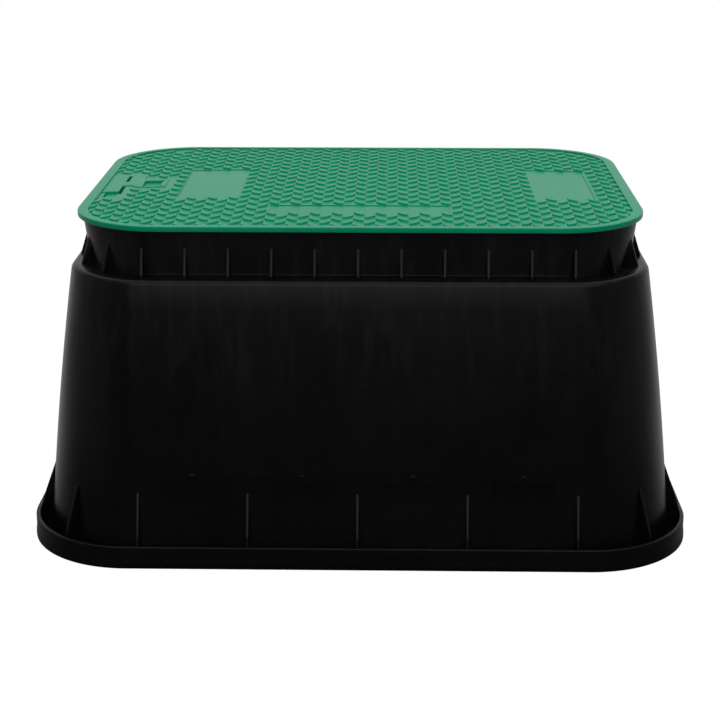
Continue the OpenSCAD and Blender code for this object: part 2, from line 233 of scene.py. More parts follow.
@dataclass(frozen=True)
class MouldedPlastic:
    """A satin moulded polyethylene.

    Heights are real heights of the relief in metres, and sizes are real sizes in metres. The two
    mixes weigh clouds, mottle and streaks.
    """

    name: str
    slot: Slot
    colour: Colour
    pale_colour: Colour
    roughness: float
    roughness_spread: float
    specular: float
    grain_size: float
    grain_height: float
    streak_size: float
    streak_height: float
    streak_stretch: float = 0.05
    mottle_size: float = 0.006
    wave_size: float = 0.07
    wave_height: float = 0.00004
    tone_mix: Point = (0.4, 0.4, 0.2)
    tone_range: Span = (0.3, 0.7)
    tone_share: float = 0.6
    gloss_mix: Point = (0.5, 0.3, 0.2)
    shoulder: Span = (0.1, 0.21)
    shoulder_gain: float = 3.0
    ripple_size: float = 0.024
    ripple_stretch: float = 0.6
    ripple_height: float = 0.0
    # Paler streaks in the colour of the upper wall: partly the moulding's flow marks, partly a painted
    # sheen for the wavy highlight under the shoulder.
    flow_and_sheen: float = 0.0
    flow_and_sheen_range: Span = (0.5, 0.62)
    weld_x: float = 0.102
    weld_w: float = 0.0012
    weld_low: float = 0.07
    weld_fade: float = 0.03
    weld_height: float = 0.0
    weld_roughness: float = 0.0

    def material(self) -> bpy.types.Material:
        """The finish as a material, made once.

        Returns:
            The material.
        """
        known = bpy.data.materials.get(self.name)
        if known:
            return known
        made = bpy.data.materials.new(self.name)
        made.use_nodes = True
        made.diffuse_color = (*self.colour, 1.0)
        graph = Graph(made.node_tree)
        place = graph.node("ShaderNodeTexCoord")["Object"]
        drawn = graph.stretched(place, (1.0, 1.0, self.streak_stretch))
        streaks = graph.noise(drawn, self.streak_size, detail=4.0, roughness=0.6)
        parts = graph.node("ShaderNodeSeparateXYZ", None, {0: place})
        near_shoulder = parts["Z"].between(*self.shoulder)
        drawn = graph.stretched(place, (1.0, 1.0, self.ripple_stretch))
        ripple = graph.noise(drawn, self.ripple_size, detail=1.0)
        weld = abs(abs(parts["X"]) - self.weld_x).between(self.weld_w, 0.0)
        weld = weld * parts["Z"].between(self.weld_low, self.weld_low + self.weld_fade)
        cloud = graph.noise(place, self.wave_size, detail=3.0)
        mottle = graph.noise(place, self.mottle_size, detail=5.0, roughness=0.65)
        grain = graph.noise(place, self.grain_size, detail=3.0, roughness=0.6)
        wave = graph.noise(place, self.wave_size, detail=0.0)
        relief = grain * self.grain_height + wave * self.wave_height + weld * self.weld_height
        relief = relief + streaks * (near_shoulder * self.shoulder_gain + 1.0) * self.streak_height
        relief = relief + ripple * near_shoulder * self.ripple_height
        bump = graph.node("ShaderNodeBump", None, {"Strength": 1.0, "Distance": 1.0, "Height": relief})
        tone = mixed((cloud, mottle, streaks), self.tone_mix).between(*self.tone_range) * self.tone_share
        # Painted sheen mixed with flow marks: streaks near the shoulder pale the colour where the wall's
        # highlight lies.
        flow_and_sheen = streaks.between(*self.flow_and_sheen_range) * near_shoulder * self.flow_and_sheen
        unevenness = mixed((cloud, mottle, streaks), self.gloss_mix) - 0.5
        roughness = unevenness * (2 * self.roughness_spread) + self.roughness
        shader = graph.node(
            "ShaderNodeBsdfPrincipled",
            None,
            {
                "Base Color": graph.blend(tone + flow_and_sheen, self.colour, self.pale_colour),
                "Roughness": weld * self.weld_roughness + roughness,
                "Specular IOR Level": self.specular,
                "Normal": bump,
            },
        )
        graph.node("ShaderNodeOutputMaterial", None, {"Surface": shader})
        return made


BLACK = MouldedPlastic(
    name="black_polyethylene",
    slot=Slot.BLACK,
    colour=(0.0011, 0.0011, 0.0012),
    pale_colour=(0.004, 0.004, 0.0042),
    roughness=0.32,
    roughness_spread=0.07,
    specular=0.11,
    grain_size=0.0009,
    grain_height=0.000006,
    streak_size=0.009,
    streak_height=0.00003,
    ripple_height=0.0004,
    # Strength of the paler streaks near the shoulder: flow marks and a painted sheen.
    flow_and_sheen=1.0,
    weld_height=0.000015,
    weld_roughness=0.04,
)
GREEN = MouldedPlastic(
    name="green_polyethylene",
    slot=Slot.GREEN,
    colour=(0.0003, 0.21, 0.099),
    pale_colour=(0.0006, 0.255, 0.13),
    roughness=0.34,
    roughness_spread=0.06,
    specular=0.14,
    grain_size=0.0008,
    grain_height=0.000012,
    streak_size=0.02,
    streak_height=0.0,
)


@dataclass(frozen=True)
class Station:
    """One level of a loft: a rounded rectangle in millimetres."""

    half_x: float
    half_y: float
    radius: float
    z: float

    def grown(self, distance: float) -> "Station":
        """The same outline moved outwards."""
        return Station(self.half_x + distance, self.half_y + distance, self.radius + distance, self.z)

    def raised(self, distance: float) -> "Station":
        """The same outline moved up."""
        return replace(self, z=self.z + distance)

    def at(self, z: float) -> "Station":
        """The same outline at another height."""
        return replace(self, z=z)

    def turn(self, radius: float, start: float, end: float, steps: int = 3) -> list["Station"]:
        """Stations round an edge whose rounding is centred on this outline.

        Args:
            radius: Radius of the rounding.
            start: First angle in degrees: 0 points outwards and 90 up.
            end: Last angle in degrees.
            steps: Number of steps between them.

        Returns:
            The stations in order.
        """
        angles = [math.radians(start + (end - start) * i / steps) for i in range(steps + 1)]
        return [self.grown(radius * math.cos(a)).raised(radius * math.sin(a)) for a in angles]

    def distance(self, x: float, y: float) -> float:
        """Distance of a place from this outline.

        Args:
            x: The place along X.
            y: The place along Y.

        Returns:
            The distance, negative inside.
        """
        across = abs(x) - self.half_x + self.radius
        deep = abs(y) - self.half_y + self.radius
        return math.hypot(max(across, 0), max(deep, 0)) + min(max(across, deep), 0) - self.radius

    def corner(self, quadrant: int) -> Vector:
        """Centre of one corner's rounding.

        Args:
            quadrant: Index of the corner.

        Returns:
            The centre in metres.
        """
        sign_x, sign_y = QUADRANTS[quadrant]
        x = sign_x * (self.half_x - self.radius)
        y = sign_y * (self.half_y - self.radius)
        return Vector((x, y, self.z)) * MM


class Loft:
    """A skin drawn up through rounded rectangles, ring after ring."""

    corner_steps = 28

    def __init__(self, mesh: Mesh, stations: Sequence[Station]) -> None:
        """Draws the skin.

        Args:
            mesh: Mesh that the skin goes into, empty before.
            stations: The outlines in order.
        """
        self.mesh = mesh
        self.here = stations[0]
        self.first = self._first_ring()
        self.last = self.first
        for station in stations[1:]:
            self._draw_to(station)

    def _first_ring(self) -> list[bmesh.types.BMEdge]:
        """Spins the four corners of the first outline and joins them.

        Returns:
            The ring's edges.
        """
        ends = []
        arm = Vector((self.here.radius * MM, 0, 0))
        for quadrant in range(4):
            centre = self.here.corner(quadrant)
            turn = Matrix.Rotation(math.radians(90 * quadrant), 3, "Z")
            start = bmesh.ops.create_vert(self.mesh, co=centre + turn @ arm)["vert"]
            spun = bmesh.ops.spin(
                self.mesh,
                geom=start,
                cent=centre,
                axis=(0, 0, 1),
                angle=math.pi / 2,
                steps=self.corner_steps,
            )
            ends.append((start[0], spun["geom_last"][0]))
        for quadrant in range(4):
            self.mesh.edges.new((ends[quadrant][1], ends[(quadrant + 1) % 4][0]))
        return self.mesh.edges[:]

    def _draw_to(self, station: Station) -> None:
        """Extrudes the last ring and moves its corners onto a station.

        Args:
            station: The next outline.
        """
        made = bmesh.ops.extrude_edge_only(self.mesh, edges=self.last)["geom"]
        verts = only(bmesh.types.BMVert, made)
        size = station.radius / self.here.radius
        for quadrant, (sign_x, sign_y) in enumerate(QUADRANTS):
            corner = [v for v in verts if v.co.x * sign_x > 0 and v.co.y * sign_y > 0]
            move = (
                Matrix.Translation(station.corner(quadrant))
                @ Matrix.Diagonal((size, size, 1.0, 1.0))
                @ Matrix.Translation(-self.here.corner(quadrant))
            )
            bmesh.ops.transform(self.mesh, matrix=move, verts=corner)
        self.last = [edge for edge in only(bmesh.types.BMEdge, made) if edge.is_boundary]
        self.here = station

    def cap(self) -> None:
        """Fills the first and the last ring."""
        bmesh.ops.contextual_create(self.mesh, geom=self.first)
        bmesh.ops.contextual_create(self.mesh, geom=self.last)


def only(kind: type, parts: Iterable[object]) -> list:
    """The parts of one kind: corners, edges or faces."""
    return [part for part in parts if isinstance(part, kind)]


def rungs(start: float, end: float, steps: int) -> list[float]:
    """Even steps up to an end, without the start."""
    return [start + (end - start) * i / steps for i in range(1, steps + 1)]


def centred(pitch: float, half: float) -> list[float]:
    """Offsets at a pitch with one at zero, within a half length."""
    count = int(half // pitch)
    return [i * pitch for i in range(-count, count + 1)]


def straddled(pitch: float, half: float) -> list[float]:
    """Offsets at a pitch with a gap at zero, within a half length."""
    count = int(half / pitch + 0.5)
    return [(i + 0.5) * pitch for i in range(-count, count)]


def placed(x: float, y: float, turn: float) -> Matrix:
    """A place in millimetres and a turn about Z in degrees, as a matrix."""
    return Matrix.Translation(Vector((x, y, 0)) * MM) @ Matrix.Rotation(math.radians(turn), 4, "Z")


def on_ends(half_x: float, offsets: Iterable[float]) -> list[Matrix]:
    """Places on the two ends, facing outwards."""
    return [place for y in offsets for place in (placed(half_x, y, 0), placed(-half_x, -y, 180))]


def on_sides(half_y: float, offsets: Iterable[float]) -> list[Matrix]:
    """Places on the two long sides, facing outwards."""
    return [place for x in offsets for place in (placed(-x, half_y, 90), placed(x, -half_y, 270))]


def on_corners(outline: Station, angles: Iterable[float]) -> list[Matrix]:
    """Places round the four corners of an outline, facing outwards.

    Args:
        outline: The outline.
        angles: Angles from the long axis in degrees.

    Returns:
        The places.
    """
    places = []
    for (sign_x, sign_y), tilt in product(QUADRANTS, map(math.radians, angles)):
        turn = math.atan2(sign_y * math.sin(tilt), sign_x * math.cos(tilt))
        x = sign_x * (outline.half_x - outline.radius) + outline.radius * math.cos(turn)
        y = sign_y * (outline.half_y - outline.radius) + outline.radius * math.sin(turn)
        places.append(placed(x, y, math.degrees(turn)))
    return places


def prism(outline: Outline, low: float, high: float) -> Mesh:
    """An upright prism.

    Args:
        outline: Its corners in X and Y, in millimetres.
        low: Height of its underside.
        high: Height of its top.

    Returns:
        A new mesh.
    """
    mesh = bmesh.new()
    face = mesh.faces.new([mesh.verts.new((x * MM, y * MM, low * MM)) for x, y in outline])
    made = bmesh.ops.extrude_face_region(mesh, geom=[face])["geom"]
    verts = only(bmesh.types.BMVert, made)
    bmesh.ops.translate(mesh, vec=(0, 0, (high - low) * MM), verts=verts)
    bmesh.ops.recalc_face_normals(mesh, faces=mesh.faces[:])
    return mesh


def block(low: Sequence[float], high: Sequence[float]) -> Mesh:
    """A box from its lowest to its highest corner, in millimetres, as a new mesh."""
    outline = [(low[0], low[1]), (high[0], low[1]), (high[0], high[1]), (low[0], high[1])]
    return prism(outline, low[2], high[2])


def round_edges(mesh: Mesh, edges: Sequence[bmesh.types.BMEdge], radius: float) -> None:
    """Rounds some edges of a mesh.

    Args:
        mesh: The mesh.
        edges: The edges.
        radius: Size of the rounding in millimetres.
    """
    bmesh.ops.bevel(
        mesh,
        geom=edges,
        offset=radius * MM,
        segments=2,
        profile=0.5,
        affect="EDGES",
        material=-1,
        clamp_overlap=True,
    )


def web(outline: Outline, thickness: float, rounding: float) -> Mesh:
    """An upright web that springs from its lowest X, where its edges stay square.

    Args:
        outline: Its corners in X and Z, in millimetres, +X outwards.
        thickness: Its thickness along Y.
        rounding: Size of its rounded free edges.

    Returns:
        A new mesh.
    """
    mesh = prism(outline, -thickness / 2, thickness / 2)
    root = min(x for x, _ in outline) * MM
    free = [edge for edge in mesh.edges if max(v.co.x for v in edge.verts) > root + TINY]
    bmesh.ops.rotate(mesh, matrix=Matrix.Rotation(math.radians(90), 3, "X"), verts=mesh.verts[:])
    round_edges(mesh, free, rounding)
    return mesh


def stored(mesh: Mesh, name: str) -> bpy.types.Mesh:
    """Moves a mesh into mesh data.

    Args:
        mesh: The mesh, freed afterwards.
        name: Name of the data.

    Returns:
        The data.
    """
    data = bpy.data.meshes.new(name)
    mesh.to_mesh(data)
    mesh.free()
    return data


def repeated(template: Mesh, places: Iterable[Matrix]) -> Mesh:
    """Copies of a mesh at several places, in one mesh.

    Args:
        template: The mesh to copy, freed afterwards.
        places: Where the copies go.

    Returns:
        A new mesh.
    """
    source = stored(template, "template")
    joined = bmesh.new()
    for place in places:
        copy = source.copy()
        copy.transform(place)
        joined.from_mesh(copy)
        bpy.data.meshes.remove(copy)
    bpy.data.meshes.remove(source)
    return joined


def merged(parts: Iterable[Mesh]) -> Mesh:
    """Several meshes in one, side by side.

    Args:
        parts: The meshes, freed afterwards.

    Returns:
        A new mesh.
    """
    joined = bmesh.new()
    for part in parts:
        source = stored(part, "part")
        joined.from_mesh(source)
        bpy.data.meshes.remove(source)
    return joined


def solid(mesh: Mesh, name: str) -> bpy.types.Object:
    """Makes an object from a mesh, with its faces outwards.

    Args:
        mesh: The mesh, freed afterwards.
        name: Name of the object.

    Returns:
        The object, in the scene and at the origin.
    """
    bmesh.ops.recalc_face_normals(mesh, faces=mesh.faces[:])
    made = bpy.data.objects.new(name, stored(mesh, name))
    bpy.context.scene.collection.objects.link(made)
    return made


def carve(target: bpy.types.Object, cutter: Mesh, how: Carving) -> None:
    """Cuts a shape out of a piece, or joins it on.

    Args:
        target: The piece.
        cutter: The shape, freed afterwards.
        how: What happens.
    """
    tool = solid(cutter, "cutter")
    step = target.modifiers.new("carve", "BOOLEAN")
    step.operation = how.value
    step.solver = "EXACT"
    step.use_self = True
    step.object = tool
    graph = bpy.context.evaluated_depsgraph_get()
    carved = bpy.data.meshes.new_from_object(target.evaluated_get(graph))
    target.modifiers.clear()
    target.data = carved
    bpy.data.objects.remove(tool)


def dress(piece: bpy.types.Object, body: Body, finish: MouldedPlastic) -> None:
    """Gives a piece its finish and its body, and reports it.

    Args:
        piece: The finished piece.
        body: The body that it rides on.
        finish: Its finish.
    """
    piece.data.materials.clear()
    piece.data.materials.append(finish.material())
    piece.data.shade_smooth()
    piece.data.set_sharp_from_angle(angle=math.radians(CREASE))
    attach(piece, body.value)
    size = tuple(round(side / MM, 1) for side in piece.dimensions)
    LOG.info("%s: %d faces, %s mm, on %s", piece.name, len(piece.data.polygons), size, body.value)


@dataclass
class BoxMoulding:
    """The black box: flange, wall, ledge, collar and gussets."""

    wall_t: float = 4.0
    collar_h: float = 36.0
    collar_lean: float = 4.6
    collar_r: float = 60.0
    ledge_end: float = 12.5
    ledge_side: float = 16.0
    ledge_r: float = 62.0
    shoulder_r: float = 4.0
    shoulder_steps: int = 6
    wall_flare: float = 25.0
    wall_bulge: float = 1.8
    wall_steps: int = 8
    base_r: float = 76.0
    flange_out: float = 11.2
    flange_r: float = 82.0
    flange_t: float = 3.5
    lip_h: float = 17.7
    lip_t: float = 3.5
    lip_edge_r: float = 0.78
    lip_foot: float = 0.6
    lip_foot_h: float = 7.0
    lip_foot_fade: tuple[Span, ...] = ((1.0, -3.5), (0.85, -2.0), (0.15, 0.5), (0.0, 2.0))
    gusset_t: float = 2.3
    gusset_edge_r: float = 0.5
    upper_pitch: float = 32.5
    upper_corner_angles: tuple[float, ...] = (24.0, 52.0)
    upper_h: float = 21.5
    upper_reach: float = 9.2
    upper_toe: float = 1.2
    lower_pitch: float = 84.0
    lower_end_pitch: float = 74.7
    lower_corner_angle: float = 51.0
    lower_h: float = 56.0
    lower_knee_h: float = 24.5
    lower_step: float = 1.0
    panel_w: float = 50.0
    panel_top: float = 65.5
    panel_depth: float = 0.7
    panel_slope: float = 1.6
    panel_steps: int = 3
    dot_r: float = 2.8
    dot_h: float = 0.5
    edge_r: float = 0.6
    fillet_r: float = 1.2
    foot: Station = field(init=False)
    ledge: Station = field(init=False)
    collar_foot: Station = field(init=False)
    top: float = field(init=False)

    def __post_init__(self) -> None:
        """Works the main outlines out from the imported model's box."""
        _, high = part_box("box_body")
        reach = self.lip_foot + self.flange_out
        self.top = high.z / MM
        self.foot = Station(high.x / MM - reach, high.y / MM - reach, self.base_r, 0.0)
        ledge_z = self.top - self.collar_h
        half_x = self.foot.half_x - self.wall_flare
        half_y = self.foot.half_y - self.wall_flare
        self.ledge = Station(half_x, half_y, self.ledge_r, ledge_z)
        self.collar_foot = Station(
            half_x - self.ledge_end, half_y - self.ledge_side, self.collar_r, ledge_z
        )

    def flare(self, z: float) -> float:
        """How far the wall stands out from the ledge's outline at a height."""
        t = (self.ledge.z - z) / self.ledge.z
        return self.wall_flare * t + 4 * self.wall_bulge * t * (1 - t)

    def wall(self, z: float, inset: float = 0.0) -> Station:
        """The wall's outline at a height, drawn in by a distance.

        Args:
            z: The height.
            inset: The distance.

        Returns:
            The outline.
        """
        radius = self.ledge_r + (self.base_r - self.ledge_r) * (self.ledge.z - z) / self.ledge.z
        grow = self.flare(z) - inset
        return Station(self.ledge.half_x + grow, self.ledge.half_y + grow, radius - inset, z)

    def collar(self, z: float, inset: float = 0.0) -> Station:
        """The collar's outline at a height, drawn in by a distance."""
        lean = self.collar_lean * (z - self.ledge.z) / self.collar_h
        return self.collar_foot.grown(lean - inset).at(z)

    def lip(self) -> list[Station]:
        """The upturned lip, from its foot over its top and down to the trough.

        Its foot stands out a little, and fades into its face by shares of that at some heights.

        Returns:
            The outlines in order.
        """
        reach_x = self.foot.half_x + self.flange_out
        reach_y = self.foot.half_y + self.flange_out
        outer = Station(reach_x, reach_y, self.flange_r, 0.0)
        inner = outer.grown(-self.lip_t)
        edge, soft, fillet = self.edge_r, self.lip_edge_r, self.fillet_r
        fade = [
            outer.grown(self.lip_foot * share).at(self.lip_foot_h + rise)
            for share, rise in self.lip_foot_fade
        ]
        return [
            *outer.grown(self.lip_foot - edge).at(edge).turn(edge, -90, 0),
            *fade,
            *outer.grown(-soft).at(self.lip_h - soft).turn(soft, 0, 90, 4),
            *inner.grown(edge).at(self.lip_h - edge).turn(edge, 90, 180),
            *inner.grown(-fillet).at(self.flange_t + fillet).turn(fillet, 0, -90),
        ]

    def outer_wall(self) -> list[Station]:
        """The wall from the trough to the ledge.

        Returns:
            The outlines in order.
        """
        fillet = self.fillet_r
        low = self.flange_t + fillet
        high = self.ledge.z - self.shoulder_r
        knee = self.wall(low).grown(fillet).at(low).turn(fillet, -90, -180)
        levels = rungs(low, self.panel_top, self.panel_steps)
        levels += rungs(self.panel_top, high, self.wall_steps)
        shoulder = []
        for tilt in map(math.radians, rungs(0, 90, self.shoulder_steps)):
            z = self.ledge.z - self.shoulder_r * (1 - math.sin(tilt))
            shoulder.append(self.wall(z, self.shoulder_r * (1 - math.cos(tilt))))
        return [*knee, *(self.wall(z) for z in levels), *shoulder]

    def collar_walls(self) -> list[Station]:
        """The collar, up its outside and down its inside."""
        edge = self.edge_r
        return [
            *self.collar(self.ledge.z + edge).grown(edge).turn(edge, -90, -180),
            *self.collar(self.top - edge).grown(-edge).turn(edge, 0, 90),
            *self.collar(self.top - edge, self.wall_t).grown(edge).turn(edge, 90, 180),
            self.collar(self.ledge.z - self.wall_t, self.wall_t),
        ]

    def inner_wall(self) -> list[Station]:
        """The inside of the wall, down to the ground.

        Returns:
            The outlines in order.
        """
        high = self.ledge.z - self.wall_t - self.fillet_r
        bend = self.wall(high, self.wall_t + self.fillet_r).turn(self.fillet_r, 90, 0)
        return [*bend, *(self.wall(z, self.wall_t) for z in rungs(high, 0, self.wall_steps))]

    def shell(self) -> Mesh:
        """The moulding without its gussets, as one closed skin.

        Returns:
            A new mesh.
        """
        mesh = bmesh.new()
        ground = self.wall(0.0, self.wall_t)
        Loft(mesh, [ground, *self.lip(), *self.outer_wall(), *self.collar_walls(), *self.inner_wall()])
        bmesh.ops.remove_doubles(mesh, verts=mesh.verts[:], dist=TINY)
        bmesh.ops.recalc_face_normals(mesh, faces=mesh.faces[:])
        for x in straddled(self.lower_pitch, self.foot.half_x - self.base_r):
            for side in (-1, 1):
                self.sink_panel(mesh, x, Vector((0, side, 0)))
        for y in centred(self.lower_end_pitch, self.foot.half_y - self.base_r):
            for side in (-1, 1):
                self.sink_panel(mesh, y, Vector((side, 0, 0)))
        return mesh

    def sink_panel(self, mesh: Mesh, offset: float, facing: Vector) -> None:
        """Sinks one knock-out panel into the wall.

        Args:
            mesh: The moulding's skin.
            offset: Distance of the panel's middle from the centre of its side.
            facing: Direction that its side faces.
        """
        along = 0 if facing.y else 1
        foot = self.foot.half_y if facing.y else self.foot.half_x
        low, high = self.flange_t + self.fillet_r, self.panel_top
        wall = [
            face
            for face in mesh.faces
            if face.normal.dot(facing) > FACING
            and all(low * MM - TINY < v.co.z < high * MM + TINY for v in face.verts)
            and min(v.co[along] for v in face.verts) < offset * MM < max(v.co[along] for v in face.verts)
            and 0 < min(v.co.dot(facing) for v in face.verts) < foot * MM
        ]
        for edge in (offset - self.panel_w / 2, offset + self.panel_w / 2):
            place = Vector((0, 0, 0))
            place[along] = edge * MM
            normal = Vector((0, 0, 0))
            normal[along] = 1.0
            parts = {part for face in wall for part in (face, *face.edges, *face.verts)}
            cut = bmesh.ops.bisect_plane(mesh, geom=list(parts), plane_co=place, plane_no=normal, dist=TINY)
            wall = only(bmesh.types.BMFace, cut["geom"])
        inside = [f for f in wall if abs(f.calc_center_median()[along] / MM - offset) < self.panel_w / 2]
        bmesh.ops.inset_region(
            mesh,
            faces=inside,
            thickness=self.panel_slope * MM,
            depth=-self.panel_depth * MM,
            use_even_offset=True,
        )

    def upper_gussets(self) -> Mesh:
        """The small gussets between the ledge and the collar.

        Returns:
            A new mesh.
        """
        root = -self.wall_t / 2
        lean = self.collar_lean * self.upper_h / self.collar_h
        base = self.ledge.z
        outline = [
            (root, base + root),
            (self.upper_reach, base + root),
            (self.upper_reach, base + self.upper_toe),
            (lean, base + self.upper_h),
            (root, base + self.upper_h),
        ]
        half_x, half_y = self.collar_foot.half_x, self.collar_foot.half_y
        straight = half_x - self.collar_r + self.upper_pitch / 2
        places = [
            *on_sides(half_y, centred(self.upper_pitch, straight)),
            *on_ends(half_x, straddled(self.upper_pitch, half_y - self.collar_r)),
            *on_corners(self.collar_foot, self.upper_corner_angles),
        ]
        return repeated(web(outline, self.gusset_t, self.gusset_edge_r), places)

    def lower_gussets(self) -> Mesh:
        """The large gussets between the wall and the lip.

        Returns:
            A new mesh.
        """
        drawn_in = self.wall_flare - self.flare(self.lower_h)
        root = -drawn_in - self.wall_t / 2
        floor = self.flange_t / 2
        lip_face = self.flange_out - self.lip_t
        toe = lip_face + self.lip_t / 4
        outline = [
            (root, floor),
            (toe, floor),
            (toe, self.lip_h - self.lower_step),
            (lip_face - self.lower_step, self.lower_knee_h),
            (-drawn_in, self.lower_h),
            (root, self.lower_h),
        ]
        half_x, half_y = self.foot.half_x, self.foot.half_y
        straight_y = half_y - self.base_r + self.gusset_t
        places = [
            *on_sides(half_y, centred(self.lower_pitch, half_x - self.base_r)),
            *on_ends(half_x, straddled(self.lower_end_pitch, straight_y)),
            *on_corners(self.foot, (self.lower_corner_angle,)),
        ]
        return repeated(web(outline, self.gusset_t, self.gusset_edge_r), places)

    def panel_dots(self) -> Mesh:
        """The small round marks above the knock-out panels.

        Returns:
            A new mesh.
        """
        mesh = bmesh.new()
        z = self.panel_top + self.dot_r
        reach = self.flare(z) - self.wall_flare
        bmesh.ops.create_uvsphere(mesh, u_segments=12, v_segments=8, radius=1.0)
        size = Vector((self.dot_h, self.dot_r, self.dot_r)) * MM
        bmesh.ops.scale(mesh, vec=size, verts=mesh.verts[:])
        bmesh.ops.translate(mesh, vec=(reach * MM, 0, z * MM), verts=mesh.verts[:])
        half_x, half_y = self.foot.half_x, self.foot.half_y
        places = [
            *on_sides(half_y, straddled(self.lower_pitch, half_x - self.base_r)),
            *on_ends(half_x, centred(self.lower_end_pitch, half_y - self.base_r)),
        ]
        return repeated(mesh, places)

    def build(self) -> None:
        """Builds and dresses the box."""
        shell = solid(self.shell(), "box_shell")
        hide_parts("box_body")
        pieces = (
            shell,
            solid(self.upper_gussets(), "collar_gussets"),
            solid(self.lower_gussets(), "flange_gussets"),
            solid(self.panel_dots(), "panel_dots"),
        )
        for piece in pieces:
            dress(piece, Body.BOX, BLACK)


@dataclass
class Cover:
    """The green cover: rim, crowned field, tread, catch, skirt and ribs. Its skirt fits the box."""

    box: BoxMoulding
    edge_t: float = 4.1
    corner_r: float = 69.0
    rim_end: float = 8.5
    rim_side: float = 5.4
    rim_h: float = 1.8
    crown_h: float = 2.8
    crown_cell: float = 24.0
    crown_reach: float = 2.0
    crown_split: float = 1.0
    field_t: float = 3.6
    over_end: float = 3.4
    over_side: float = 7.4
    skirt_gap: float = 1.0
    skirt_t: float = 3.0
    skirt_h: float = 13.0
    skirt_slack: float = 0.5
    rib_t: float = 2.4
    rib_h: float = 11.0
    rib_pitch: float = 46.0
    rib_root: float = 0.5
    rib_offset: float = 0.01
    tread_h: float = 1.28
    col_pitch: float = 8.4
    col_gap: float = 0.3
    row_pitch: float = 17.2
    row_shift: float = 2.6
    bar_rise: float = 5.8
    bar_len: float = 6.8
    bar_slope: float = 0.45
    bar_ease: float = 0.15
    bar_bow: float = 0.25
    bar_root: float = 0.8
    bar_steps: int = 5
    bar_overlap: float = 0.3
    bar_margin: float = 1.0
    bare_depth: float = 0.6
    bare_places: tuple[Rectangle, ...] = (
        (-146.5, -53.5, -96.5, 53.5),
        (138.05, -56.5, 186.55, 56.5),
        (-69.5, -108.5, 69.5, -83.5),
    )
    pad_h: float = 0.6
    pad_len: float = 69.0
    pad_w: float = 15.2
    tongue_len: float = 45.0
    tongue_w: float = 29.0
    pad_back: float = 36.0
    slot_w: float = 2.9
    slot_back_len: float = 22.5
    slot_front_len: float = 29.0
    slot_bridge: float = 15.5
    slot_inset: float = 9.0
    pocket_size: Span = (15.0, 21.0)
    pocket_gap: float = 1.0
    pocket_frame: float = 3.0
    notch_size: Span = (10.5, 18.0)
    notch_inset: float = 3.5
    pocket_depth: float = 1.4
    hole_r: float = 1.5
    edge_r: float = 0.9
    small_r: float = 0.4
    soft_r: float = 0.25
    outline: Station = field(init=False)
    rim: Station = field(init=False)
    skirt: Station = field(init=False)
    foot_z: float = field(init=False)
    seat_z: float = field(init=False)
    top: float = field(init=False)
    field_z: float = field(init=False)

    def __post_init__(self) -> None:
        """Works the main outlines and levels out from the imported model's box."""
        low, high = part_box("lid")
        self.foot_z = low.z / MM
        self.seat_z = self.foot_z + self.skirt_h
        self.top = self.seat_z + self.edge_t
        self.field_z = self.top - self.rim_h
        half_x, half_y = high.x / MM, high.y / MM
        self.outline = Station(half_x, half_y, self.corner_r, self.top)
        self.rim = Station(
            half_x - self.rim_end, half_y - self.rim_side, self.corner_r - self.rim_end, self.top
        )
        box = self.box
        inset = box.collar_lean * self.skirt_h / box.collar_h + box.wall_t + self.skirt_gap
        self.skirt = Station(
            half_x - self.over_end - inset,
            half_y - self.over_side - inset,
            box.collar_r + box.collar_lean - inset,
            self.foot_z,
        )

    @property
    def smooth_places(self) -> list[Rectangle]:
        """Rectangles that no bar reaches: the catch, and the bare places less what bars may overlap.

        Returns:
            The rectangles.
        """
        left = -self.rim.half_x
        notch_y = self.pad_back - self.pad_len - self.notch_size[1]
        _, pocket_low, pocket_right, pocket_high = self.pocket()
        reach = self.hole_r + self.pocket_frame
        over_x = self.bar_overlap * self.col_pitch
        over_y = self.bar_overlap * (self.bar_rise + self.bar_len)
        return [
            *((x0 + over_x, y0 + over_y, x1 - over_x, y1 - over_y) for x0, y0, x1, y1 in self.bare_places),
            (left, notch_y, left + self.pad_w + self.slot_w / 2, self.pad_back),
            (left, self.pad_back - self.tongue_len, left + self.tongue_w, self.pad_back),
            (left, pocket_low - self.pocket_frame, pocket_right + reach, pocket_high + reach),
        ]

    def pocket(self) -> Rectangle:
        """The finger pocket.

        Returns:
            Its rectangle.
        """
        low_x = -self.rim.half_x + self.tongue_w + self.pocket_gap
        slot_back = self.pad_back - self.slot_inset - self.slot_back_len
        low_y = slot_back - self.slot_bridge / 2 - self.pocket_size[1] / 2
        return low_x, low_y, low_x + self.pocket_size[0], low_y + self.pocket_size[1]

    def notch(self) -> Rectangle:
        """The notch at the front end of the pad.

        Returns:
            Its rectangle.
        """
        low_x = -self.rim.half_x + self.notch_inset
        high_y = self.pad_back - self.pad_len
        return low_x, high_y - self.notch_size[1], low_x + self.notch_size[0], high_y

    def crown(self, x: float, y: float) -> float:
        """Rise of the crown at a place, in millimetres."""
        across, deep = x / self.outline.half_x, y / self.outline.half_y
        return self.crown_h * (1 - across**2) * (1 - deep**2)

